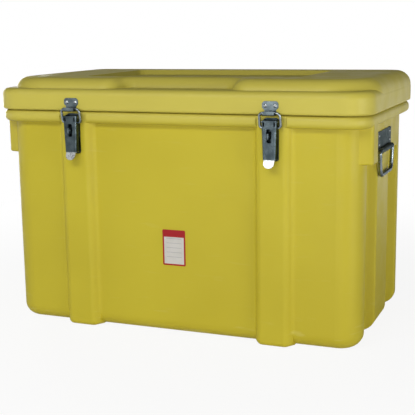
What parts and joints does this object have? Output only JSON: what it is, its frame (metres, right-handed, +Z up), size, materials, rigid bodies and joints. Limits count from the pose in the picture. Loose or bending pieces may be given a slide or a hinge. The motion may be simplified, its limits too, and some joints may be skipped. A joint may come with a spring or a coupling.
{
  "type": "transport box",
  "caption": "Tall moulded plastic transport box with upright ribs, a hinged lid with a sunk tray, steel draw latches with padlock eyes and a drop handle at each end.",
  "frame": {"origin": "middle of the box's outline, on the surface that it stands on", "axes": "+X along the box to the right, -Y out of the front with the latches, +Z up"},
  "size_m": [0.8, 0.496, 0.521],
  "materials": {
    "shell_plastic": "semi-gloss, finely textured",
    "label_face": "smooth film",
    "seal_rubber": "soft foam rubber",
    "pressed_steel": "zinc plated sheet",
    "wire_steel": "zinc plated bar",
    "rivet_steel": "bright"
  },
  "bodies": {
    "box": {"box_body": "shell_plastic", "blank_label": "label_face", "latch_base_left": "pressed_steel", "latch_base_right": "pressed_steel", "latch_pin_left": "wire_steel", "latch_pin_right": "wire_steel", "padlock_staple_left": "pressed_steel", "padlock_staple_right": "pressed_steel", "handle_plate_left": "pressed_steel", "handle_plate_right": "pressed_steel", "hinge_tub_leaf_left": "pressed_steel", "hinge_tub_leaf_right": "pressed_steel", "hinge_pin_left": "wire_steel", "hinge_pin_right": "wire_steel", "latch_base_rivets": "rivet_steel", "latch_base_backing_plates": "pressed_steel", "handle_rivets": "rivet_steel", "handle_backing_plates": "pressed_steel", "hinge_tub_rivets": "rivet_steel", "hinge_tub_backing_plates": "pressed_steel"},
    "lid": {"lid": "shell_plastic", "lid_seal": "seal_rubber", "latch_strike_left": "pressed_steel", "latch_strike_right": "pressed_steel", "hinge_lid_leaf_left": "pressed_steel", "hinge_lid_leaf_right": "pressed_steel", "latch_strike_rivets": "rivet_steel", "latch_strike_backing_plates": "pressed_steel", "hinge_lid_rivets": "rivet_steel", "hinge_lid_backing_plates": "pressed_steel"},
    "lever_left": {"latch_lever_left": "pressed_steel"},
    "bow_left": {"latch_bow_left": "wire_steel"},
    "bail_left": {"handle_bail_left": "wire_steel"},
    "lever_right": {"latch_lever_right": "pressed_steel"},
    "bow_right": {"latch_bow_right": "wire_steel"},
    "bail_right": {"handle_bail_right": "wire_steel"}
  },
  "joints": [
    {"name": "lid_hinge", "type": "hinge", "parent": "box", "child": "lid", "pos_m": [0, 0.236, 0.4551], "axis": [-1, 0, 0], "range_deg": [0, 100]},
    {"name": "lever_left_pivot", "type": "hinge", "parent": "box", "child": "lever_left", "pos_m": [-0.212, -0.233, 0.4435], "axis": [-1, 0, 0], "range_deg": [0, 100]},
    {"name": "bow_left_pivot", "type": "hinge", "parent": "lever_left", "child": "bow_left", "pos_m": [-0.212, -0.231, 0.4325], "axis": [-1, 0, 0], "range_deg": [-75, 0]},
    {"name": "bail_left_swing", "type": "hinge", "parent": "box", "child": "bail_left", "pos_m": [-0.385, 0, 0.3724], "axis": [0, 1, 0], "range_deg": [0, 150]},
    {"name": "lever_right_pivot", "type": "hinge", "parent": "box", "child": "lever_right", "pos_m": [0.212, -0.233, 0.4435], "axis": [-1, 0, 0], "range_deg": [0, 100]},
    {"name": "bow_right_pivot", "type": "hinge", "parent": "lever_right", "child": "bow_right", "pos_m": [0.212, -0.231, 0.4325], "axis": [-1, 0, 0], "range_deg": [-75, 0]},
    {"name": "bail_right_swing", "type": "hinge", "parent": "box", "child": "bail_right", "pos_m": [0.385, 0, 0.3724], "axis": [0, -1, 0], "range_deg": [0, 150]}
  ],
  "couplings": [
    {"joint": "bow_left_pivot", "follows": "lever_left_pivot", "ratio": -0.75},
    {"joint": "bow_right_pivot", "follows": "lever_right_pivot", "ratio": -0.75}
  ]
}
